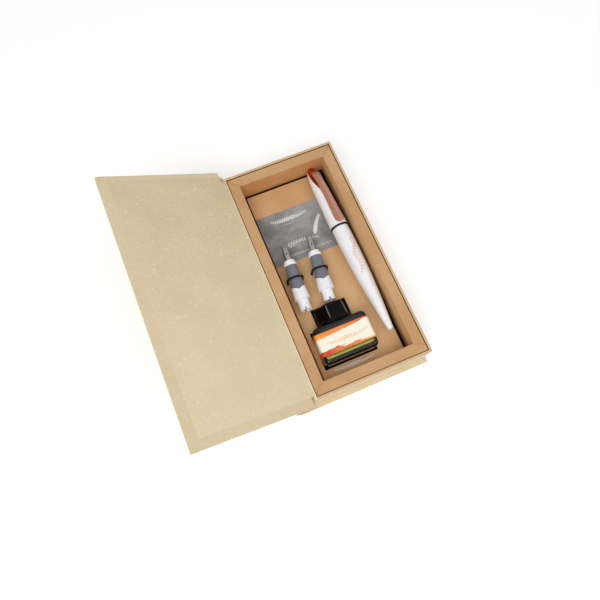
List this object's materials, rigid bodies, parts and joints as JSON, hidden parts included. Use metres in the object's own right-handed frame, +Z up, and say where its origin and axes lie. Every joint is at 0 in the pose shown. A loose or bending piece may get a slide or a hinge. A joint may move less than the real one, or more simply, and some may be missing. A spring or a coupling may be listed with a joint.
{
  "type": "fountain pen set",
  "caption": "Fountain pen with spare nib units and a small ink bottle in an open book-shaped kraft gift box.",
  "frame": {"origin": "on the underside of the base board, below the middle of the tray", "axes": "+Z up, +Y along the box to the end where the pen's cap lies, +X to the right, away from the spine and the open lid"},
  "size_m": [0.1668, 0.182, 0.0805],
  "materials": {
    "cover_kraft": "matt kraft paper over grey board",
    "endpaper": "matt pale kraft paper with fine fibres",
    "insert_kraft": "matt orange-brown kraft card",
    "grey_card": "matt, printed like a chalk board",
    "elastic_cord": "round elastic with a fine woven cover",
    "white_resin": "polished white resin",
    "black_ring": "glossy black",
    "copper": "bright copper plating",
    "rose_gold": "bright rose-gold plating",
    "inner_cap": "satin",
    "grip_rubber": "matt dark grey rubber",
    "nib_steel": "polished steel",
    "feed_black": "matt black",
    "cartridge": "clear plastic",
    "bottle_glass": "clear polished glass",
    "ink": "dark olive ink",
    "label_paper": "uncoated cream paper, printed",
    "cap_black": "satin black plastic",
    "seal": "soft white foam"
  },
  "bodies": {
    "box": {"base_board": "cover_kraft", "tray": "cover_kraft", "spine": "cover_kraft", "hinge_paper": "endpaper", "insert_frame": "insert_kraft", "platform": "insert_kraft", "leaflet": "grey_card", "elastic_left": "elastic_cord", "elastic_right": "elastic_cord"},
    "lid": {"lid_board": "cover_kraft", "lid_lining": "endpaper"},
    "cap": {"pen_cap": "white_resin", "cap_crown": "copper", "cap_liner": "inner_cap"},
    "clip": {"pen_clip": "rose_gold"},
    "section": {"pen_section": "white_resin", "pen_grip": "grip_rubber", "pen_nib": "nib_steel", "pen_feed": "feed_black", "ink_cartridge": "cartridge"},
    "ring": {"pen_ring": "black_ring"},
    "barrel": {"pen_barrel": "white_resin"},
    "left_unit": {"left_section": "white_resin", "left_grip": "grip_rubber", "left_nib": "nib_steel", "left_feed": "feed_black"},
    "right_unit": {"right_section": "white_resin", "right_grip": "grip_rubber", "right_nib": "nib_steel", "right_feed": "feed_black"},
    "bottle": {"ink_bottle": "bottle_glass", "bottle_ink": "ink", "bottle_label": "label_paper"},
    "seal": {"bottle_seal": "seal"},
    "screw_cap": {"bottle_cap": "cap_black"}
  },
  "joints": [
    {"name": "lid_hinge", "type": "hinge", "parent": "box", "child": "lid", "pos_m": [-0.0433, 0, 0.0342], "axis": [0, -1, 0], "range_deg": [-148.6, 12]},
    {"name": "pen_lift", "type": "slide", "parent": "box", "child": "cap", "axis": [0, 0, 1], "range_m": [0, 0.06]},
    {"name": "clip_flex", "type": "hinge", "parent": "cap", "child": "clip", "pos_m": [0.02305, 0.07139, 0.02392], "axis": [-0.9813, -0.0257, 0.1908], "range_deg": [0, 5], "stiffness_Nm_per_rad": 0.4},
    {"name": "cap_draw", "type": "slide", "parent": "cap", "child": "section", "axis": [0.0262, -0.9997, 0], "range_m": [0, 0.0145]},
    {"name": "barrel_travel", "type": "slide", "parent": "section", "child": "ring", "axis": [0.0262, -0.9997, 0], "range_m": [0, 0.0036]},
    {"name": "barrel_turn", "type": "hinge", "parent": "ring", "child": "barrel", "pos_m": [0.024, 0.023, 0.0223], "axis": [0.0262, -0.9997, 0], "range_deg": [0, 1080]},
    {"name": "left_slide", "type": "slide", "parent": "box", "child": "left_unit", "axis": [0.0663, 0.9978, 0], "range_m": [0, 0.028], "deforming": ["elastic_left"]},
    {"name": "right_slide", "type": "slide", "parent": "box", "child": "right_unit", "axis": [0.0941, 0.9956, 0], "range_m": [0, 0.028], "deforming": ["elastic_right"]},
    {"name": "bottle_lift", "type": "slide", "parent": "box", "child": "bottle", "axis": [0, 0, 1], "range_m": [0, 0.05]},
    {"name": "seal_travel", "type": "slide", "parent": "bottle", "child": "seal", "axis": [0, 1, 0], "range_m": [0, 0.0015]},
    {"name": "screw_cap_turn", "type": "hinge", "parent": "seal", "child": "screw_cap", "pos_m": [-0.0065, -0.03, 0.0167], "axis": [0, 1, 0], "range_deg": [0, 270]}
  ],
  "couplings": [
    {"joint": "barrel_travel", "follows": "barrel_turn", "m_per_rad": 0.00019099},
    {"joint": "seal_travel", "follows": "screw_cap_turn", "m_per_rad": 0.00031831}
  ]
}
